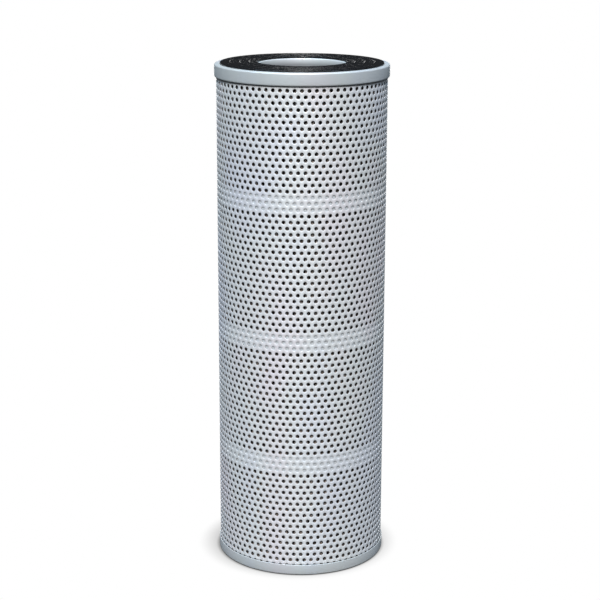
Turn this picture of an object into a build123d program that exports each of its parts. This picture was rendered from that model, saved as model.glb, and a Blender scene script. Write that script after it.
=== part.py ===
"""Return-line filter element for a hydraulic tank: a pleated pack between two perforated steel tubes.

The element stands on its closed lower end, with the axis of its tubes along +Z and the origin at the
centre of its foot. Oil enters through the outer sleeve, passes the pleats and leaves by the bore on top.

From the outside in:
  outer_sleeve          perforated sheet, rolled into a tube and welded along one seam
  pleat_band_*          three strips wound round the pack, which keep the pleats apart
  pleated_media         one strip folded into a ring, its folds standing upright
  core_tube             perforated tube that keeps the pack from collapsing
  top_potting           resin that seals the upper ends of the pleats to their cap
  bottom_potting        the same at the foot
  top_cap               pressed ring in one sheet: skirt, rim, gasket seat, folded lip and collar
  bottom_cap            pressed cup, its middle pushed up to centre the core tube
  top_gasket            moulded rubber ring with three concentric beads and a raised inner edge

The real tubes have round holes of a few millimetres by the thousand. Here they have the same staggered
pattern and the same open share of the sheet, in fewer and larger holes.
"""

import os
from math import cos, pi, sin, sqrt

from build123d import *

# ---------------------------------------------------------------- driving dimensions, millimetres

overall_height = 436.0  # foot to the crests of the gasket
slip_fit = 0.2  # radial play between pieces that slide into each other

# Outer sleeve
sleeve_diameter = 145.0  # outside
sleeve_wall = 0.5
sleeve_row_count = 10
sleeve_holes_per_row_count = 10
sleeve_end_margin = 6.0  # plain sheet between the outermost holes and the caps
open_share = 0.22  # open part of the perforated sheet

# Core tube
core_wall = 0.8
core_row_count = 6
core_holes_per_row_count = 6
core_end_margin = 30.0

# Top cap
cap_sheet = 0.8
skirt_play = 0.9  # radial gap between the sleeve and the skirt
skirt_height = 10.5  # foot of the skirt to the top of the rim
skirt_curl = 0.3  # how far the foot of the skirt turns in
rim_width = 4.7
rim_bend = 1.4  # outside radius of the bend from the skirt to the rim
rim_below_gasket = 1.6
gasket_seat_depth = 3.8  # below the top of the rim
bore_diameter = 72.0
collar_depth = 12.0  # below the gasket's seat
lip_below_gasket = 2.6
lip_gap = 0.4  # daylight between the two legs of the folded lip

# Bottom cap
bottom_skirt_height = 9.4
foot_bend = 1.6  # outside radius round the foot
dish_depth = 7.0  # how far the middle is pushed up

# Gasket
bead_spacing = 8.4
bead_base = 3.2
bead_crest = 1.2
bead_height = 0.4

# Pleated pack
pleat_count = 100
media_thickness = 0.8
fold_width = 1.1  # middle of one wall to the middle of the next, at the blunt end of a fold
media_to_sleeve = 1.8
media_to_core = 0.3
potting_thickness = 3.0
band_height = 14.0
band_thickness = 1.4
band_shares = (0.222, 0.482, 0.767)  # heights of the bands' middles, as shares of the open sleeve

# ---------------------------------------------------------------- sizes that follow

sleeve_outer = sleeve_diameter / 2
sleeve_inner = sleeve_outer - sleeve_wall

top_outer = sleeve_outer + skirt_play + cap_sheet
rim_inner = top_outer - rim_width
rim_top = overall_height - rim_below_gasket
skirt_foot = rim_top - skirt_height
seat_top = rim_top - gasket_seat_depth
seat_under = seat_top - cap_sheet

bore_radius = bore_diameter / 2
collar_outer = bore_radius + cap_sheet
collar_foot = seat_under - collar_depth
lip_top = overall_height - lip_below_gasket
lip_outer = collar_outer + lip_gap + cap_sheet

core_inner = collar_outer + slip_fit
core_outer = core_inner + core_wall
core_top = seat_under - slip_fit

bottom_inner = sleeve_outer + slip_fit
bottom_outer = bottom_inner + cap_sheet
dish_outer = core_inner - slip_fit
floor_top = cap_sheet

gasket_outer = rim_inner - slip_fit
gasket_inner = lip_outer + slip_fit
gasket_land = overall_height - bead_height

media_bottom = floor_top + potting_thickness
media_top = seat_under - potting_thickness
media_outer = sleeve_inner - media_to_sleeve
media_inner = core_outer + media_to_core

sleeve_bottom = floor_top + foot_bend
sleeve_top = rim_top - rim_bend


def ring(outer, inner, bottom, top):
    """A plain ring about Z."""
    return Pos(0, 0, bottom) * extrude(Circle(outer) - Circle(inner), top - bottom)


def turned(points, bends=()):
    """Revolve half-section corners (radius, height) about Z. Each bend is a corner's point and its radius."""
    section = make_face(Polyline(*points, close=True))
    for point, radius in bends:
        corner = section.vertices().sort_by_distance(point)[0]
        section = fillet(corner, radius)
    return revolve(Plane.XZ * section, Axis.Z)


def perforation(radius, wall, bottom, top, row_count, per_row_count):
    """Round cutters that point out from the axis, each row staggered by half a pitch from the last."""
    row_spacing = (top - bottom) / row_count
    area_per_hole = 2 * pi * radius / per_row_count * row_spacing
    hole_radius = sqrt(open_share * area_per_hole / pi)
    cutter = extrude(Circle(hole_radius), radius, both=True)
    inner_reach = sqrt(radius**2 - hole_radius**2) - 2 * wall
    cutter = Pos(0, 0, inner_reach + radius) * cutter
    cutters = []
    for row in range(row_count):
        height = bottom + (row + 0.5) * row_spacing
        for number in range(per_row_count):
            turn = 360 / per_row_count * (number + 0.5 * (row % 2))
            cutters.append(Pos(0, 0, height) * Rot(0, 0, turn) * Rot(0, 90, 0) * cutter)
    return cutters


def make_outer_sleeve():
    tube = ring(sleeve_outer, sleeve_inner, sleeve_bottom, sleeve_top)
    lowest = bottom_skirt_height + sleeve_end_margin
    highest = skirt_foot - sleeve_end_margin
    counts = (sleeve_row_count, sleeve_holes_per_row_count)
    return tube - perforation(sleeve_outer, sleeve_wall, lowest, highest, *counts)


def make_core_tube():
    tube = ring(core_outer, core_inner, floor_top, core_top)
    lowest = floor_top + core_end_margin
    highest = core_top - core_end_margin
    counts = (core_row_count, core_holes_per_row_count)
    return tube - perforation(core_outer, core_wall, lowest, highest, *counts)


def make_top_cap():
    """One sheet: up the skirt, over the rim, across the seat, up and over the lip, down the collar."""
    curl_height = 2 * skirt_curl
    channel_top = rim_top - cap_sheet
    channel_inner = rim_inner + cap_sheet
    skirt_inner = top_outer - cap_sheet
    leg_inner = collar_outer + lip_gap
    fold_top = lip_top - cap_sheet
    shoulder = (top_outer, rim_top)
    channel_corner = (skirt_inner, channel_top)
    lip_corners = ((lip_outer, lip_top), (bore_radius, lip_top))
    points = [
        (top_outer - skirt_curl, skirt_foot),
        (top_outer, skirt_foot + curl_height),
        shoulder,
        (rim_inner, rim_top),
        (rim_inner, seat_top),
        (lip_outer, seat_top),
        *lip_corners,
        (bore_radius, collar_foot),
        (collar_outer, collar_foot),
        (collar_outer, fold_top),
        (leg_inner, fold_top),
        (leg_inner, seat_under),
        (channel_inner, seat_under),
        (channel_inner, channel_top),
        channel_corner,
        (skirt_inner, skirt_foot + curl_height),
        (skirt_inner - skirt_curl, skirt_foot),
    ]
    bends = [(shoulder, rim_bend), (channel_corner, rim_bend - cap_sheet)]
    bends += [(corner, cap_sheet) for corner in lip_corners]
    return turned(points, bends)


def make_bottom_cap():
    """One sheet: a cup with a low wall and its middle pushed up inside the core tube."""
    foot_corner = (bottom_outer, 0)
    cup_corner = (bottom_inner, floor_top)
    points = [
        (0, dish_depth),
        (dish_outer - cap_sheet, dish_depth),
        (dish_outer - cap_sheet, 0),
        foot_corner,
        (bottom_outer, bottom_skirt_height),
        (bottom_inner, bottom_skirt_height),
        cup_corner,
        (dish_outer, floor_top),
        (dish_outer, dish_depth + cap_sheet),
        (0, dish_depth + cap_sheet),
    ]
    return turned(points, [(foot_corner, foot_bend), (cup_corner, foot_bend - cap_sheet)])


def bead_radii():
    """Centre lines of the gasket's three beads."""
    middle = (gasket_inner + gasket_outer) / 2
    return [middle + step * bead_spacing for step in (-1, 0, 1)]


def make_top_gasket():
    """The inner edge stands as high as the beads, so it closes on the cover first."""
    points = [
        (gasket_outer, seat_top),
        (gasket_inner, seat_top),
        (gasket_inner, overall_height),
        (gasket_inner + bead_crest, overall_height),
        (gasket_inner + (bead_crest + bead_base) / 2, gasket_land),
    ]
    for radius in bead_radii():
        points += [
            (radius - bead_base / 2, gasket_land),
            (radius - bead_crest / 2, overall_height),
            (radius + bead_crest / 2, overall_height),
            (radius + bead_base / 2, gasket_land),
        ]
    points.append((gasket_outer, gasket_land))
    return turned(points)


def fold_outline(side):
    """Corners of one face of the corrugated strip: side is +1 for the outward face, -1 for the inward."""
    half = media_thickness / 2
    tip = media_outer - half
    root = media_inner + half
    pitch = 2 * pi / pleat_count
    tip_turn = fold_width / 2 / tip
    root_turn = fold_width / 2 / root
    middle = []
    for number in range(pleat_count):
        turn = number * pitch
        middle.append((tip, turn - tip_turn))
        middle.append((tip, turn + tip_turn))
        middle.append((root, turn + pitch / 2 - root_turn))
        middle.append((root, turn + pitch / 2 + root_turn))
    corners = [Vector(radius * cos(turn), radius * sin(turn)) for radius, turn in middle]
    shifted = []
    for number, corner in enumerate(corners):
        arriving = (corner - corners[number - 1]).normalized()
        leaving = (corners[(number + 1) % len(corners)] - corner).normalized()
        normal_in = Vector(arriving.Y, -arriving.X)
        normal_out = Vector(leaving.Y, -leaving.X)
        mitre = (normal_in + normal_out).normalized()
        shifted.append(corner + mitre * (side * half / mitre.dot(normal_in)))
    return shifted


def make_pleated_media():
    outward = make_face(Polyline(*fold_outline(+1), close=True))
    inward = make_face(Polyline(*fold_outline(-1), close=True))
    return Pos(0, 0, media_bottom) * extrude(outward - inward, media_top - media_bottom)


def make_potting(bottom):
    return ring(sleeve_inner - slip_fit, core_outer + slip_fit, bottom, bottom + potting_thickness)


def make_pleat_band(share):
    """A strip wound round the tips of the folds."""
    middle = bottom_skirt_height + share * (skirt_foot - bottom_skirt_height)
    inner = media_outer + slip_fit / 2
    return ring(inner + band_thickness, inner, middle - band_height / 2, middle + band_height / 2)


def main():
    lower_share, middle_share, upper_share = band_shares
    parts = {
        "outer_sleeve": make_outer_sleeve(),
        "core_tube": make_core_tube(),
        "pleated_media": make_pleated_media(),
        "pleat_band_lower": make_pleat_band(lower_share),
        "pleat_band_middle": make_pleat_band(middle_share),
        "pleat_band_upper": make_pleat_band(upper_share),
        "bottom_potting": make_potting(floor_top),
        "top_potting": make_potting(media_top),
        "bottom_cap": make_bottom_cap(),
        "top_cap": make_top_cap(),
        "top_gasket": make_top_gasket(),
    }
    os.makedirs("parts", exist_ok=True)
    for name, shape in parts.items():
        export_step(shape, f"parts/{name}.step")


main()
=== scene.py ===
# %% [markdown]
# # A pleated filter element in full detail
# Oil goes through a punched sleeve, then through folds of filter media, then through a core tube, and the
# bore at the top joins the core to the filter's housing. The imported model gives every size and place.
# This script keeps that frame and remakes the pieces that are seen, at the detail that the real ones
# have: thousands of punched holes, bends with a true radius, soft beads on the gasket, and folds behind
# the sheet. Everything is in metres, with the axis along Z and the foot at nought.

# %% Load the frame
from math import atan2, cos, pi, radians, sin, sqrt

import bmesh
import bpy
from mathutils import Matrix, Vector, noise


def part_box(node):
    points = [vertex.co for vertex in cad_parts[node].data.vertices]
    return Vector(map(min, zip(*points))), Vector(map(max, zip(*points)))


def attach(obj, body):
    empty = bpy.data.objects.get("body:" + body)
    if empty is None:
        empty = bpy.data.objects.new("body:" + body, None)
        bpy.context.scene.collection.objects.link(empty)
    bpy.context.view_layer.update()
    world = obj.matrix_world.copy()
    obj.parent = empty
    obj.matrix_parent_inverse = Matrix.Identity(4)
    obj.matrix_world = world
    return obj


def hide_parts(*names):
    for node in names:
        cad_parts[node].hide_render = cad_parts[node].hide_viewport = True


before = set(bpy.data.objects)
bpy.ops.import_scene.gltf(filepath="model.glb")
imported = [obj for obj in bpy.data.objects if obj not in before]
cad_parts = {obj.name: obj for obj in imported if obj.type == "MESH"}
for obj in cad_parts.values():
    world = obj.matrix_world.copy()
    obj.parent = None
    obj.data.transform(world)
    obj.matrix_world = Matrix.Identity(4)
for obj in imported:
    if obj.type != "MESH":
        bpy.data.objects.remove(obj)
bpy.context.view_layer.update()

MM = 0.001
print("nodes:", ", ".join(sorted(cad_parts)))

# %% [markdown]
# ## Measures
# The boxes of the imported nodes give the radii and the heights, so the detail can't drift away from the
# solids. They could also be typed in again, but then a change of the model would have to be made twice.
# Only what a box can't tell is written out, here for the sizes that several pieces share, and otherwise
# beside its piece.

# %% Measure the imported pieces
def outer_radius(node):
    low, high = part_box(node)
    return (high[0] - low[0]) / 2


def heights(node):
    low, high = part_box(node)
    return low[2], high[2]


sleeve_radius = outer_radius("outer_sleeve")
sleeve_foot, sleeve_head = heights("outer_sleeve")
cap_radius = outer_radius("top_cap")
collar_foot, lip_top = heights("top_cap")
gasket_radius = outer_radius("top_gasket")
gasket_seat, gasket_crest = heights("top_gasket")
core_radius = outer_radius("core_tube")
core_foot, core_head = heights("core_tube")
cup_radius = outer_radius("bottom_cap")
cup_rim = heights("bottom_cap")[1]
print(f"sleeve {2 * sleeve_radius / MM:.1f} mm across, element {gasket_crest / MM:.1f} mm tall")

# %% Write down the shared sizes
slip_fit = 0.2 * MM
cap_sheet = 0.8 * MM
core_wall = 0.8 * MM
rim_below_gasket = 1.6 * MM
skirt_height = 10.5 * MM
core_bore = core_radius - core_wall
rim_top = gasket_crest - rim_below_gasket
skirt_foot = rim_top - skirt_height
print(f"the top cap's skirt ends {skirt_foot / MM:.1f} mm up, and the bottom cup {cup_rim / MM:.1f} mm up")

# %% [markdown]
# ## Camera
# A tall part is best shown through a long lens, so that its sides stay nearly parallel. A short lens
# close by would taper it. This one stands a little above the gasket and looks down, so the gasket, the
# bore and the foot's curve are all seen. The lens's shift stays at nought, because other views carry the
# same camera round the part.

# %% Set the camera
camera_pitch = 75.274
camera_lean = 0.157
camera_data = bpy.data.cameras.new("camera")
camera_data.lens = 95.87
camera_data.sensor_width = 36
camera_data.clip_end = 50
camera = bpy.data.objects.new("camera", camera_data)
camera.location = (-0.0012, -1.3537, 0.5835)
turned = Matrix.Rotation(radians(camera_pitch), 3, "X") @ Matrix.Rotation(radians(camera_lean), 3, "Z")
camera.rotation_euler = turned.to_euler()
bpy.context.collection.objects.link(camera)
bpy.context.scene.camera = camera
print(f"camera {-camera.location.y:.2f} m in front and {camera.location.z:.2f} m up")

# %% [markdown]
# ## From a bmesh to a piece
# Each piece is drawn as a bmesh and ends as one object at the origin. Shading it all smooth would blur
# the punched edges, and shading it all flat would show every facet of a bend. So edges that turn by more
# than a set angle are marked sharp, and the rest is shaded smooth.

# %% Turn a bmesh into a piece
def add_piece(name, shape, material, replaced, crease=35):
    """crease is the angle in degrees from which an edge stays sharp."""
    mesh = bpy.data.meshes.new(name)
    shape.to_mesh(mesh)
    shape.free()
    mesh.polygons.foreach_set("use_smooth", [True] * len(mesh.polygons))
    mesh.set_sharp_from_angle(angle=radians(crease))
    mesh.materials.append(material)
    piece = bpy.data.objects.new(name, mesh)
    bpy.context.collection.objects.link(piece)
    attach(piece, "root")
    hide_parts(replaced)
    triangles = sum(len(face.vertices) - 2 for face in mesh.polygons)
    print(f"{name}: {triangles} triangles")


# %% [markdown]
# ## Finishes
# Every finish here is a small node tree over the Principled shader. Pictures of metal or paper could be
# wrapped round the pieces instead, but noise that reads the piece's own coordinates has no seams and fits
# any size. A small class keeps each tree down to a few readable calls.

# %% Node helpers
class Finish:
    """A material whose nodes are added by short calls."""

    def __init__(self, name, colour, roughness, metallic=0.0):
        self.material = bpy.data.materials.new(name)
        self.material.use_nodes = True
        self.nodes = self.material.node_tree.nodes
        self.links = self.material.node_tree.links
        self.shader = self.nodes["Principled BSDF"]
        self.shader.inputs["Base Color"].default_value = (*colour, 1)
        self.shader.inputs["Roughness"].default_value = roughness
        self.shader.inputs["Metallic"].default_value = metallic
        self.place = self.nodes.new("ShaderNodeTexCoord").outputs["Object"]

    def plug(self, value, socket):
        """Link value where it is a node's output, and set it where it is plain."""
        if isinstance(value, bpy.types.NodeSocket):
            self.links.new(value, socket)
        else:
            socket.default_value = value

    def drive(self, socket, value):
        self.links.new(value, self.shader.inputs[socket])

    def noise(self, scale, detail, stretch=(1, 1, 1)):
        mapping = self.nodes.new("ShaderNodeMapping")
        mapping.inputs["Scale"].default_value = stretch
        texture = self.nodes.new("ShaderNodeTexNoise")
        texture.inputs["Scale"].default_value = scale
        texture.inputs["Detail"].default_value = detail
        self.links.new(self.place, mapping.inputs["Vector"])
        self.links.new(mapping.outputs["Vector"], texture.inputs["Vector"])
        return texture.outputs["Fac"]

    def ramp(self, value, stops):
        """stops are (position, colour)."""
        node = self.nodes.new("ShaderNodeValToRGB")
        elements = node.color_ramp.elements
        while len(elements) < len(stops):
            elements.new(0.5)
        for element, (position, colour) in zip(elements, stops):
            element.position = position
            element.color = (*colour, 1)
        self.links.new(value, node.inputs["Fac"])
        return node.outputs["Color"]

    def span(self, value, low, high, start=0.3, end=0.7):
        """Go from low to high while value goes from start to end. Noise is mostly between 0.3 and 0.7."""
        node = self.nodes.new("ShaderNodeMapRange")
        node.inputs["From Min"].default_value = start
        node.inputs["From Max"].default_value = end
        self.plug(low, node.inputs["To Min"])
        self.plug(high, node.inputs["To Max"])
        self.links.new(value, node.inputs["Value"])
        return node.outputs["Result"]

    def vector_math(self, operation, *values):
        node = self.nodes.new("ShaderNodeVectorMath")
        node.operation = operation
        for value, socket in zip(values, node.inputs):
            self.plug(value, socket)
        return node

    def times(self, colour, value):
        node = self.vector_math("SCALE", colour)
        self.links.new(value, node.inputs["Scale"])
        return node.outputs["Vector"]

    def height(self):
        return self.vector_math("DOT_PRODUCT", self.place, (0, 0, 1)).outputs["Value"]

    def facing(self):
        """About 1 on faces that look outwards or up, and 0 or less on the walls of holes and inside."""
        flat = self.vector_math("MULTIPLY", self.place, (1, 1, 0)).outputs["Vector"]
        outwards = self.vector_math("NORMALIZE", flat).outputs["Vector"]
        outwards_and_up = self.vector_math("ADD", outwards, (0, 0, 1)).outputs["Vector"]
        normal = self.nodes.new("ShaderNodeNewGeometry").outputs["True Normal"]
        return self.vector_math("DOT_PRODUCT", normal, outwards_and_up).outputs["Value"]

    def bump(self, value, depth, strength):
        node = self.nodes.new("ShaderNodeBump")
        node.inputs["Distance"].default_value = depth
        node.inputs["Strength"].default_value = strength
        self.links.new(value, node.inputs["Height"])
        self.links.new(node.outputs["Normal"], self.shader.inputs["Normal"])


# %% [markdown]
# ## Zinc plate
# The sleeve and the caps are steel with a thin coat of zinc. It isn't one grey: its colour drifts a
# little, from rose to green to blue, and fine rubbing marks run round the part. Faces turned inwards or
# down, the walls of the holes among them, are darkened as painted shade, which deepens down the bore and
# turns into a painted highlight by its lip. Painted shadow darkens a thin band under the top cap's skirt
# and another just above the bottom cup's rim. A full metal would mirror the empty surroundings and go
# dark, so the plate is only partly metallic, as dull zinc looks.

# %% Mix the zinc finishes
# The depths below the lip over which the bore's painted highlight turns into full painted shade.
lit_mouth_depth = 0.6 * MM
dark_bore_depth = 5.5 * MM
# How dark the painted shadow bands under the skirt and above the cup rim get, as a share of the colour.
seam_painted_shadow = 0.28


def zinc_plate(name, shade, warmth, low_roughness, high_roughness, deep, mouth, painted_shadow_bands=()):
    """Where the plate faces inwards or down, it keeps the share mouth of its brightness by the lip, and
    deep below.

    This is painted shade, and a painted highlight where the share is above 1. The bands of painted shadow
    are (height of their darkest shade, height where their shade ends)."""
    rose = (shade * 0.98 * warmth, shade * 0.97, shade * 1.02)
    green = (shade * 0.94 * warmth, shade * 1.00, shade * 1.01)
    blue = (shade * 0.91 * warmth, shade * 0.97, shade * 1.05)
    finish = Finish(name, (shade, shade, shade), low_roughness, metallic=0.35)
    drift = finish.noise(14, detail=3, stretch=(1, 1, 0.4))
    tint = finish.ramp(drift, [(0.34, rose), (0.5, green), (0.66, blue)])
    # Painted shade on faces turned inwards or down, such as the walls of the holes. Down the bore it
    # deepens, and by the lip it becomes a painted highlight where mouth is above 1.
    inside = finish.span(finish.height(), deep, mouth, lip_top - dark_bore_depth, lip_top - lit_mouth_depth)
    colour = finish.times(tint, finish.span(finish.facing(), inside, 1, start=0.2, end=0.6))
    # Painted shadow: the plate is darkened in thin bands under the top cap's skirt and just above the cup's
    # rim.
    for shadow_height, unshaded_height in painted_shadow_bands:
        colour = finish.times(colour, finish.span(finish.height(), seam_painted_shadow, 1, shadow_height, unshaded_height))
    finish.drive("Base Color", colour)
    rubbing = finish.noise(260, detail=3, stretch=(1, 1, 3))
    finish.drive("Roughness", finish.span(rubbing, low_roughness, high_roughness))
    finish.bump(rubbing, depth=0.02 * MM, strength=0.5)
    print(f"{name}: shade {shade}")
    return finish.material


# Bands of painted shadow: where the skirt's shadow falls on the sleeve, and the dark line above the cup
# rim.
under_skirt_painted_shadow = (skirt_foot - 0.9 * MM, skirt_foot - 1.9 * MM)
cup_rim_painted_shadow = (cup_rim + 0.1 * MM, cup_rim + 0.8 * MM)
painted_shadow_bands = (under_skirt_painted_shadow, cup_rim_painted_shadow)
# Painted shade inside: the sleeve's hole walls, inner face and downward faces keep a quarter of its
# brightness. In satin, faces in the bore get a painted highlight by the lip and painted shade deeper down.
bright_zinc = zinc_plate("bright_zinc", 0.79, 1.045, 0.42, 0.54, deep=0.25, mouth=0.25, painted_shadow_bands=painted_shadow_bands)
satin_zinc = zinc_plate("satin_zinc", 0.58, 1.0, 0.44, 0.56, deep=0.42, mouth=1.25)
# The foot's zinc is darker than the sleeve's, partly as its own duller finish and partly as painted shade
# for the weaker light at the foot.
dull_and_shaded_zinc = zinc_plate("dull_and_shaded_zinc", 0.54, 1.015, 0.48, 0.60, deep=0.4, mouth=0.4)

# %% [markdown]
# ## Rubber, media, tape and resin
# The gasket is smooth black rubber with a fine grain. The media is brown paper-like felt, the bands are a
# pale tape, and the resin is a grey casting. All four are plain plastics to the shader. What tells them
# apart is the size and the depth of their grain, so each gets its own noise.

# %% Mix the soft finishes
def moulded_rubber():
    finish = Finish("black_rubber", (0.006, 0.006, 0.007), 0.34)
    grain = finish.noise(900, detail=4)
    finish.drive("Roughness", finish.span(grain, 0.22, 0.36))
    finish.bump(grain, depth=0.03 * MM, strength=0.4)
    return finish.material


def fibrous(name, dark, light, roughness, scale, detail, stretch, depth, strength):
    """A felt or a tape, with fibres between two colours, drawn out along or around the part."""
    finish = Finish(name, light, roughness)
    fibres = finish.noise(scale, detail, stretch)
    finish.drive("Base Color", finish.ramp(fibres, [(0.3, dark), (0.7, light)]))
    finish.bump(fibres, depth, strength)
    return finish.material


def cured_resin():
    finish = Finish("grey_resin", (0.10, 0.10, 0.11), 0.3)
    swirl = finish.noise(60, detail=3)
    finish.drive("Base Color", finish.ramp(swirl, [(0.3, (0.07, 0.07, 0.08)), (0.7, (0.15, 0.15, 0.16))]))
    return finish.material


black_rubber = moulded_rubber()
filter_media = fibrous("filter_media", (0.07, 0.055, 0.045), (0.34, 0.275, 0.235), 0.9,
                       scale=500, detail=6, stretch=(1, 1, 0.3), depth=0.05 * MM, strength=0.6)
pale_tape = fibrous("pale_tape", (0.40, 0.42, 0.44), (0.54, 0.56, 0.58), 0.55,
                    scale=700, detail=3, stretch=(1, 1, 5), depth=0.03 * MM, strength=0.5)
grey_resin = cured_resin()
print("soft finishes:", black_rubber.name, filter_media.name, pale_tape.name, grey_resin.name)

# %% [markdown]
# ## The perforated sleeve
# The sleeve is thin sheet, punched on a triangle grid and rolled into a tube. Six thousand holes could be
# cut by Booleans, but that is slow and leaves ragged faces. On a triangle grid each hole owns a hexagon
# of metal, so one cell is drawn flat instead: the hexagon's edge, the rolled-over lip of the punch, the
# hole's mouth, the hole's far side and the hexagon's edge on the inside. Cells stack into one column, the
# column is bent to the radius, and a spin of copies carries it round. Neighbours share their corners, so
# the copies merge into one sheet.

# %% Draw one cell of punched sheet
HOLE_CORNERS = 12
LIP_SPREAD = 1.8


def edges_between(verts):
    ring = set(verts)
    return list({edge for vert in verts for edge in vert.link_edges if edge.other_vert(vert) in ring})


def new_verts(shape, edges):
    """Extrude edges and return the points that this makes."""
    grown = bmesh.ops.extrude_edge_only(shape, edges=edges)["geom"]
    return [part for part in grown if isinstance(part, bmesh.types.BMVert)]


def pull_ring(shape, edges, place):
    """Extrude a ring of edges and move each new point to place(turn). Returns the new ring's edges."""
    verts = new_verts(shape, edges)
    for vert in verts:
        vert.co = place(atan2(vert.co.y, vert.co.x))
    return edges_between(verts)


def on_circle(radius, depth):
    return lambda turn: Vector((radius * cos(turn), radius * sin(turn), depth))


def on_hexagon(pitch, spacing, depth):
    """A hexagon pitch wide, squashed so that its rows stand spacing apart."""
    squash = spacing / (pitch * sqrt(3) / 2)

    def place(turn):
        from_side = (turn + pi / 6) % (pi / 3) - pi / 6
        reach = pitch / 2 / cos(from_side)
        return Vector((reach * cos(turn), reach * sin(turn) * squash, depth))
    return place


def punched_cell(across, up, pitch, spacing, hole, wall, lip):
    """Start at the hole's far edge and pull rings: up the wall, over the lip, and out to the hexagon."""
    shape = bmesh.new()
    far_side = Matrix.Translation((0, 0, -wall))
    start = bmesh.ops.create_circle(shape, segments=HOLE_CORNERS, radius=hole, matrix=far_side)
    far_edge = edges_between(start["verts"])
    pull_ring(shape, far_edge, on_hexagon(pitch, spacing, -wall))
    ring = pull_ring(shape, far_edge, on_circle(hole, -lip))
    if lip:
        ring = pull_ring(shape, ring, on_circle(hole + LIP_SPREAD * lip, 0))
    pull_ring(shape, ring, on_hexagon(pitch, spacing, 0))
    bmesh.ops.translate(shape, vec=(across, up, 0), verts=shape.verts[:])
    return shape


# %% Stack the cells and close the ends
def join(shape, other):
    """Add another bmesh to shape and let it go."""
    carrier = bpy.data.meshes.new("carrier")
    other.to_mesh(carrier)
    other.free()
    shape.from_mesh(carrier)
    bpy.data.meshes.remove(carrier)


def open_edges(shape, above, middle):
    edges = [edge for edge in shape.edges if edge.is_boundary]
    return [edge for edge in edges if (edge.verts[0].co.z > middle) == above]


def close_end(shape, above, middle, end):
    """Join the inner and outer sheets at one end. Where end is a height, plain sheet runs on to it."""
    edges = open_edges(shape, above, middle)
    if end is not None:
        for vert in new_verts(shape, edges):
            vert.co.z = end
        edges = open_edges(shape, above, middle)
    bmesh.ops.bridge_loops(shape, edges=edges)


# %% Roll a course of cells into a tube
def carry_round(shape, copies):
    """Fill the circle with copies of what is there."""
    first = shape.verts[:] + shape.edges[:] + shape.faces[:]
    steps = copies - 1
    bmesh.ops.spin(shape, geom=first, cent=(0, 0, 0), axis=(0, 0, 1), dvec=(0, 0, 0),
                   angle=2 * pi / copies * steps, steps=steps, use_duplicate=True, use_merge=False)


def punched_course(radius, wall, hole, columns, first_row, rows, top_row, spacing,
                   lip=0.0, top=None, foot=None):
    """A tube of punched sheet from row first_row down, counted from top_row, the height of row nought."""
    pitch = 2 * pi * radius / columns
    touching = wall / 50
    shape = bmesh.new()
    for row in range(first_row, first_row + rows):
        cell = punched_cell(pitch / 2 * (row % 2), top_row - row * spacing, pitch, spacing, hole, wall, lip)
        join(shape, cell)
    bmesh.ops.remove_doubles(shape, verts=shape.verts[:], dist=touching)
    for vert in shape.verts:
        across, up, depth = vert.co
        turn = across / radius
        vert.co = ((radius + depth) * sin(turn), -(radius + depth) * cos(turn), up)
    carry_round(shape, columns)
    bmesh.ops.remove_doubles(shape, verts=shape.verts[:], dist=touching)
    middle = top_row - (first_row + (rows - 1) / 2) * spacing
    close_end(shape, True, middle, top)
    close_end(shape, False, middle, foot)
    bmesh.ops.recalc_face_normals(shape, faces=shape.faces[:])
    return shape


# %% Make the sleeve in four courses
HOLE_COLUMNS = 76
HOLE_ROWS = 81
COURSES = 4
sleeve_wall = 0.4 * MM
hole_radius = 1.66 * MM
punch_lip = 0.06 * MM
first_row_below_skirt = 4.0 * MM
last_row_below_cup_rim = 0.7 * MM
top_row = skirt_foot - first_row_below_skirt
row_spacing = (top_row - (cup_rim - last_row_below_cup_rim)) / (HOLE_ROWS - 1)
for course in range(COURSES):
    first = round(course * HOLE_ROWS / COURSES)
    count = round((course + 1) * HOLE_ROWS / COURSES) - first
    shape = punched_course(
        sleeve_radius, sleeve_wall, hole_radius, HOLE_COLUMNS, first, count, top_row, row_spacing,
        lip=punch_lip,
        top=sleeve_head if course == 0 else None,
        foot=sleeve_foot if course == COURSES - 1 else None,
    )
    add_piece(f"sleeve_course_{course + 1}", shape, bright_zinc, "outer_sleeve")
print(f"{HOLE_ROWS * HOLE_COLUMNS} holes in rows {row_spacing / MM:.2f} mm apart")

# %% [markdown]
# ## Turned sections
# The caps, the gasket and the bands are all rings. Boxes and cylinders could be joined into them, but a
# closed outline in the XZ plane, spun once round with its two ends merged, gives the true section at
# once. The sheet's corners are rounded first, by bevelling the outline's points.

# %% Spin a closed outline
SPIN_STEPS = 160


def spun(points, bends=()):
    """points are (radius, height). bends are (index of a point, radius, segments)."""
    shape = bmesh.new()
    corners = [shape.verts.new((radius, 0, height)) for radius, height in points]
    for corner, following in zip(corners, corners[1:] + corners[:1]):
        shape.edges.new((corner, following))
    for index, bend, segments in bends:
        bmesh.ops.bevel(shape, geom=[corners[index]], offset=bend, offset_type="OFFSET", affect="VERTICES",
                        segments=segments, profile=0.5, material=-1)
    bmesh.ops.spin(shape, geom=shape.verts[:] + shape.edges[:], cent=(0, 0, 0), axis=(0, 0, 1),
                   dvec=(0, 0, 0), angle=2 * pi, steps=SPIN_STEPS, use_merge=True, use_duplicate=False)
    bmesh.ops.remove_doubles(shape, verts=shape.verts[:], dist=0.001 * MM)
    bmesh.ops.recalc_face_normals(shape, faces=shape.faces[:])
    return shape


# %% [markdown]
# ## Top cap
# The top cap is one disc of sheet, pressed: a skirt round the sleeve, a rounded rim, a recess that seats
# the gasket, a lip folded back on itself, and a collar down the bore. The outline follows the sheet once
# along its outside and back along its inside, one sheet's thickness away, so the wall stays even in every
# bend.

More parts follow.
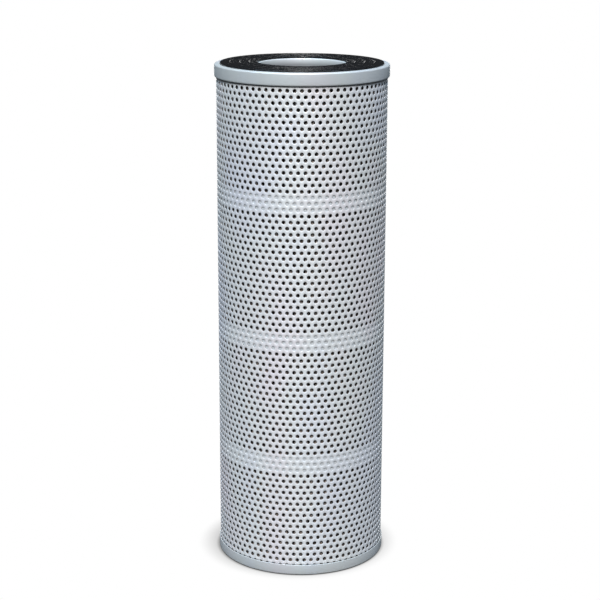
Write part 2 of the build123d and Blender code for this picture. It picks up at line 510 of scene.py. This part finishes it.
# %% Press the top cap
collar = core_bore - slip_fit
bore = collar - cap_sheet
lip_gap = 0.4 * MM
lip_outer = collar + lip_gap + cap_sheet
rim_inner = gasket_radius + slip_fit
rim_bend = 1.4 * MM
skirt_curl = 0.3 * MM
curl_top = skirt_foot + 2 * skirt_curl
top_outline = [
    (cap_radius - skirt_curl, skirt_foot),
    (cap_radius, curl_top),
    (cap_radius, rim_top),
    (rim_inner, rim_top),
    (rim_inner, gasket_seat),
    (lip_outer, gasket_seat),
    (lip_outer, lip_top),
    (bore, lip_top),
    (bore, collar_foot),
    (collar, collar_foot),
    (collar, lip_top - cap_sheet),
    (lip_outer - cap_sheet, lip_top - cap_sheet),
    (lip_outer - cap_sheet, gasket_seat - cap_sheet),
    (rim_inner + cap_sheet, gasket_seat - cap_sheet),
    (rim_inner + cap_sheet, rim_top - cap_sheet),
    (cap_radius - cap_sheet, rim_top - cap_sheet),
    (cap_radius - cap_sheet, curl_top),
    (cap_radius - cap_sheet - skirt_curl, skirt_foot),
]
top_bends = [
    (1, 0.6 * MM, 3), (2, rim_bend, 8), (3, 0.4 * MM, 4), (4, 0.5 * MM, 3), (5, 0.5 * MM, 3),
    (6, cap_sheet, 6), (7, cap_sheet, 6), (15, rim_bend - cap_sheet, 6),
]
add_piece("top_cap_pressing", spun(top_outline, top_bends), satin_zinc, "top_cap")

# %% [markdown]
# ## Bottom cap
# The foot is a shallow cup of the same sheet, closed, with its middle pushed up so that it stands on a
# ring and locates the core tube. Its outline starts and ends on the axis, so the spin closes it with a
# pole on each side.

# %% Press the bottom cap
dish_radius = core_bore - slip_fit
dish_depth = 7 * MM
foot_bend = 1.6 * MM
edge_break = 0.25 * MM
cup_outline = [
    (0, dish_depth),
    (dish_radius - cap_sheet, dish_depth),
    (dish_radius - cap_sheet, 0),
    (cup_radius, 0),
    (cup_radius, cup_rim),
    (cup_radius - cap_sheet, cup_rim),
    (cup_radius - cap_sheet, cap_sheet),
    (dish_radius, cap_sheet),
    (dish_radius, dish_depth + cap_sheet),
    (0, dish_depth + cap_sheet),
]
cup_bends = [
    (2, 0.6 * MM, 3), (3, foot_bend, 6), (4, edge_break, 3), (5, edge_break, 3),
    (6, foot_bend - cap_sheet, 4),
]
add_piece("bottom_cap_pressing", spun(cup_outline, cup_bends), dull_and_shaded_zinc, "bottom_cap")

# %% [markdown]
# ## Gasket
# The gasket is a flat rubber ring with low beads that bite on the housing: a half bead at its inner edge
# and three whole ones further out. A bump texture would fake them only from above, and they catch the
# light at the rim, so they are part of the outline. A loop adds each bead's four points and their
# rounding.

# %% Mould the gasket
gasket_inner = lip_outer + slip_fit
bead_spacing = 8.4 * MM
bead_base = 2.4 * MM
bead_crest = 1.2 * MM
bead_height = 0.4 * MM
bead_round = 0.4 * MM
land = gasket_crest - bead_height
gasket_outline = [
    (gasket_radius, gasket_seat),
    (gasket_inner, gasket_seat),
    (gasket_inner, gasket_crest),
    (gasket_inner + bead_crest, gasket_crest),
    (gasket_inner + (bead_crest + bead_base) / 2, land),
]
gasket_bends = [(2, 0.3 * MM, 3), (3, bead_round, 3), (4, bead_round, 3)]
for step in (-1, 0, 1):
    middle = (gasket_inner + gasket_radius) / 2 + step * bead_spacing
    bead = [(-bead_base, land), (-bead_crest, gasket_crest), (bead_crest, gasket_crest), (bead_base, land)]
    for across, up in bead:
        gasket_bends.append((len(gasket_outline), bead_round, 3))
        gasket_outline.append((middle + across / 2, up))
gasket_bends.append((len(gasket_outline), bead_round, 4))
gasket_outline.append((gasket_radius, land))
gasket = spun(gasket_outline, gasket_bends)
add_piece("gasket_ring", gasket, black_rubber, "top_gasket", crease=50)

# %% [markdown]
# ## Bands
# Three strips of pale tape are wound round the folds to hold them evenly apart. They press on the tips,
# just behind the sheet, and close three rows of holes each. A strip wound by hand is never quite level,
# so each plain ring leans a little and its edges waver with a slow noise.

# %% Wind the three bands
band_stretch = 0.2 * MM
band_thickness = 1.6 * MM
band_waver = 0.5 * MM
waves_per_metre = 30


def wind_band(node, lean, phase):
    """lean is how much higher the band sits at +X. phase picks its own stretch of noise."""
    low, high = heights(node)
    outer = outer_radius(node) + band_stretch
    inner = outer - band_thickness
    shape = spun([(inner, low), (outer, low), (outer, high), (inner, high)])
    for vert in shape.verts:
        swell = noise.noise(Vector((vert.co.x * waves_per_metre, vert.co.y * waves_per_metre, phase)))
        vert.co.z += lean * vert.co.x / outer + swell * band_waver
    add_piece(node + "_strip", shape, pale_tape, node, crease=30)


wind_band("pleat_band_upper", 0.3 * MM, phase=1.7)
wind_band("pleat_band_middle", -0.4 * MM, phase=5.2)
wind_band("pleat_band_lower", 0.3 * MM, phase=9.9)

# %% [markdown]
# ## Pleats
# The media is one long sheet, folded a hundred times and closed into a ring. Drawing each fold by itself
# would leave gaps where they meet. So the middle line of one fold is drawn from root to tip to root,
# copies carry it round, the whole line is pulled up in a few steps, and solidify gives it its thickness.
# The tips are blunt and nearly touch, as packed media does, and between the bands they stand further out.

# %% Draw the line of one fold
PLEATS = 100
BEND_STEPS = 7
media_wall = 0.8 * MM
media_clearance = 0.3 * MM
media_tip = outer_radius("pleated_media") - media_wall / 2
media_root = core_radius + media_clearance + media_wall / 2
media_foot, media_head = heights("pleated_media")
tip_bend = 1.6 * MM
root_bend = 0.5 * MM


def swings(first, last):
    return [radians(first + (last - first) * step / BEND_STEPS) for step in range(BEND_STEPS + 1)]


def fold_chain(shape):
    """The middle line of one fold, from root to tip to root. Both ends lie on the line to the next fold."""
    half_pitch = pi / PLEATS
    chain = []
    for swing in swings(0, 90):
        chain.append((media_root + root_bend * (1 - cos(swing)), root_bend * sin(swing), -half_pitch))
    for swing in swings(-90, 90):
        blunt_across = sqrt(abs(sin(swing))) * (1 if swing > 0 else -1)
        blunt_rise = 1 - sqrt(max(0, cos(swing)))
        chain.append((media_tip - tip_bend * blunt_rise, tip_bend * blunt_across, 0))
    for swing in swings(-90, 0):
        chain.append((media_root + root_bend * (1 - cos(swing)), root_bend * sin(swing), half_pitch))
    verts = []
    for radius, across, turn in chain:
        turn += across / radius
        verts.append(shape.verts.new((radius * sin(turn), -radius * cos(turn), media_foot)))
    for vert, following in zip(verts, verts[1:]):
        shape.edges.new((vert, following))


# %% Let the folds sway
BANDS = ("pleat_band_lower", "pleat_band_middle", "pleat_band_upper")
band_heights = [sum(heights(node)) / 2 for node in BANDS]
swell_start = 8 * MM
swell_run = 8 * MM
swell_between_bands = 0.35 * MM
sideways_sway = 0.3 * MM
outward_sway = 0.4 * MM


def sway(vert):
    """Folds are never quite even. Each has its own slow noise, and the tips swell between the bands."""
    radius = Vector((vert.co.x, vert.co.y)).length
    turn = atan2(vert.co.x, -vert.co.y)
    share = max(0, (radius - media_root) / (media_tip - media_root)) ** 2
    fold = round(turn * PLEATS / (2 * pi))
    sideways_place = Vector((fold * 3.7, vert.co.z * 12, 0))
    outward_place = sideways_place + Vector((0, 0, 40))
    turn += share * noise.noise(sideways_place) * sideways_sway / radius
    from_band = min(abs(vert.co.z - height) for height in band_heights)
    swell = min(1, max(0, (from_band - swell_start) / swell_run)) * swell_between_bands
    radius += share * (swell + noise.noise(outward_place) * outward_sway)
    vert.co.x = radius * sin(turn)
    vert.co.y = -radius * cos(turn)


# %% Fold the media
def folded_media():
    shape = bmesh.new()
    fold_chain(shape)
    carry_round(shape, PLEATS)
    bmesh.ops.remove_doubles(shape, verts=shape.verts[:], dist=media_wall / 50)
    stations = {media_head}
    for height in band_heights:
        stations.update(height + away * MM for away in (-40, -16, -8, 8, 16, 40))
    ring = shape.edges[:]
    for station in sorted(stations):
        verts = new_verts(shape, ring)
        ring = edges_between(verts)
        for vert in verts:
            vert.co.z = station
    for vert in shape.verts:
        sway(vert)
    bmesh.ops.recalc_face_normals(shape, faces=shape.faces[:])
    bmesh.ops.solidify(shape, geom=shape.faces[:], thickness=media_wall)
    bmesh.ops.recalc_face_normals(shape, faces=shape.faces[:])
    return shape


add_piece("folded_media", folded_media(), filter_media, "pleated_media", crease=50)

# %% [markdown]
# ## Core tube
# The core is the same kind of sheet as the sleeve, but heavier and with wider holes, because it takes the
# whole squeeze of the oil. Only a look down the bore shows it, so it is punched by the same cells,
# without the lip.

# %% Punch the core tube
CORE_COLUMNS = 23
core_hole = 2.5 * MM
core_plain_end = 10 * MM
core_spacing = pi * core_radius / CORE_COLUMNS * sqrt(3)
core_rows = int((core_head - core_foot - 2 * core_plain_end) / core_spacing)
core_top_row = (core_head + core_foot + (core_rows - 1) * core_spacing) / 2
shape = punched_course(
    core_radius, core_wall, core_hole, CORE_COLUMNS, 0, core_rows, core_top_row, core_spacing,
    top=core_head, foot=core_foot,
)
add_piece("punched_core", shape, satin_zinc, "core_tube")

# %% [markdown]
# ## Resin
# Two rings of resin seal the ends of the folds to the caps. They are cast between other pieces and hardly
# show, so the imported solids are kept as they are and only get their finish.

# %% Colour the resin
for node in ("bottom_potting", "top_potting"):
    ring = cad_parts[node]
    ring.data.materials.clear()
    ring.data.materials.append(grey_resin)
    print(node, "keeps its shape")

# %% [markdown]
# ## Floor
# The part stands on white with only a soft shade round its foot. A white floor lit by the lamps would
# glare into the holes and under the skirt from below. So the floor is nearly black to the metal, and to
# the camera it is a glowing white, dimmed where the foot hides the sky: softly for about 30 mm around it,
# and sharply where it touches.

# %% Lay the floor
floor_size = 6
soft_shade_reach = 32 * MM
contact_shade_reach = 5 * MM


def lay_floor():
    shape = bmesh.new()
    bmesh.ops.create_grid(shape, x_segments=1, y_segments=1, size=floor_size)
    mesh = bpy.data.meshes.new("floor")
    shape.to_mesh(mesh)
    shape.free()
    finish = Finish("floor_white", (0.05, 0.05, 0.05), 0.95)
    towards_light = finish.nodes.new("ShaderNodeCombineXYZ")
    for socket, share in zip(towards_light.inputs, (0.12, -0.3, 0.94)):
        socket.default_value = share
    glow = finish.nodes.new("ShaderNodeEmission")
    shades = (("Strength", soft_shade_reach, 0.35), ("Color", contact_shade_reach, 0.3))
    for socket, reach, darkest in shades:
        shade = finish.nodes.new("ShaderNodeAmbientOcclusion")
        shade.samples = 32
        shade.inputs["Distance"].default_value = reach
        finish.links.new(towards_light.outputs["Vector"], shade.inputs["Normal"])
        open_sky = finish.span(shade.outputs["AO"], darkest, 1.0, start=0.3, end=0.86)
        finish.links.new(open_sky, glow.inputs[socket])
    path = finish.nodes.new("ShaderNodeLightPath")
    mix = finish.nodes.new("ShaderNodeMixShader")
    finish.links.new(path.outputs["Is Camera Ray"], mix.inputs["Fac"])
    finish.links.new(finish.shader.outputs["BSDF"], mix.inputs[1])
    finish.links.new(glow.outputs["Emission"], mix.inputs[2])
    finish.links.new(mix.outputs["Shader"], finish.nodes["Material Output"].inputs["Surface"])
    mesh.materials.append(finish.material)
    floor = bpy.data.objects.new("floor", mesh)
    bpy.context.collection.objects.link(floor)
    print(f"{floor.name}: {2 * floor_size} m wide")


lay_floor()

# %% [markdown]
# ## Light
# One high light from the front models the tube and throws the skirt's shadow on the sleeve. Two bluish
# fills from the sides keep the edges from going black. They stand high, so that they light the sheet but
# don't shine into the holes. A glow over the top shows the gasket's beads, and a lamp behind serves the
# views from the back. Far lights are suns, because lamps close by would fade from the top of the sleeve
# to its foot.

# %% Hang the lights
def soft_light(name, place, aim, size, watts):
    data = bpy.data.lights.new(name, "AREA")
    data.shape = "RECTANGLE"
    data.size, data.size_y = size
    data.energy = watts
    lamp = bpy.data.objects.new(name, data)
    lamp.location = place
    lamp.rotation_euler = (Vector(aim) - Vector(place)).to_track_quat("-Z", "Y").to_euler()
    lamp.visible_camera = False
    bpy.context.collection.objects.link(lamp)
    print(f"{name}: {watts} W")


def sun_light(name, turn, rise, spread, strength, colour=(1, 1, 1)):
    """A far light. turn is from the front towards +X, rise is above the floor, spread is its own width."""
    data = bpy.data.lights.new(name, "SUN")
    data.angle = radians(spread)
    data.energy = strength
    data.color = colour
    lamp = bpy.data.objects.new(name, data)
    lamp.rotation_euler = (radians(90 - rise), 0, radians(turn))
    bpy.context.collection.objects.link(lamp)
    print(f"{name}: {rise} degrees up, strength {strength}")


sun_light("key_light", turn=-6, rise=46, spread=10, strength=3.75)
sun_light("left_fill", turn=-70, rise=58, spread=20, strength=1.4, colour=(0.5, 0.76, 1.0))
sun_light("right_fill", turn=70, rise=58, spread=20, strength=1.1, colour=(0.58, 0.8, 1.0))
soft_light("top_glow", place=(0, -0.55, 1.25), aim=(0, 0, 0.43), size=(0.6, 0.6), watts=2.5)
soft_light("back_light", place=(0, 1.3, 0.2), aim=(0, 0, 0.2), size=(0.7, 0.34), watts=8)
soft_light("back_strip", place=(0, 1.6, 0.62), aim=(0, 0, gasket_crest), size=(0.04, 0.3), watts=0.12)

# %% [markdown]
# ## Surroundings
# The background is plain white. Mirrored in the zinc, white all round would wash out its shape, so the
# metal gets surroundings of its own: a dark horizon under a bright patch of ceiling, above and in front.

# %% Set the surroundings
towards_ceiling = (0, -0.5, 0.87)
ceiling_levels = ((0.0, 0.03), (0.6, 0.06), (0.8, 0.2), (1.0, 1.0))
ceiling_tint = (0.92, 0.97, 1.0)


def studio_walls():
    world = bpy.data.worlds.new("studio")
    world.use_nodes = True
    bpy.context.scene.world = world
    nodes = world.node_tree.nodes
    links = world.node_tree.links
    seen = nodes["Background"]
    seen.inputs["Color"].default_value = (1, 1, 1, 1)
    seen.inputs["Strength"].default_value = 1.0
    direction = nodes.new("ShaderNodeTexCoord").outputs["Generated"]
    nearness = nodes.new("ShaderNodeVectorMath")
    nearness.operation = "DOT_PRODUCT"
    nearness.inputs[1].default_value = towards_ceiling
    links.new(direction, nearness.inputs[0])
    ramp = nodes.new("ShaderNodeValToRGB")
    elements = ramp.color_ramp.elements
    while len(elements) < len(ceiling_levels):
        elements.new(0.5)
    for element, (position, level) in zip(elements, ceiling_levels):
        element.position = position
        element.color = (*(level * share for share in ceiling_tint), 1)
    links.new(nearness.outputs["Value"], ramp.inputs["Fac"])
    mirrored = nodes.new("ShaderNodeBackground")
    links.new(ramp.outputs["Color"], mirrored.inputs["Color"])
    mix = nodes.new("ShaderNodeMixShader")
    path = nodes.new("ShaderNodeLightPath")
    links.new(path.outputs["Is Camera Ray"], mix.inputs["Fac"])
    links.new(mirrored.outputs["Background"], mix.inputs[1])
    links.new(seen.outputs["Background"], mix.inputs[2])
    links.new(mix.outputs["Shader"], nodes["World Output"].inputs["Surface"])


studio_walls()
bpy.context.scene.view_settings.view_transform = "Standard"
print("view transform:", bpy.context.scene.view_settings.view_transform)
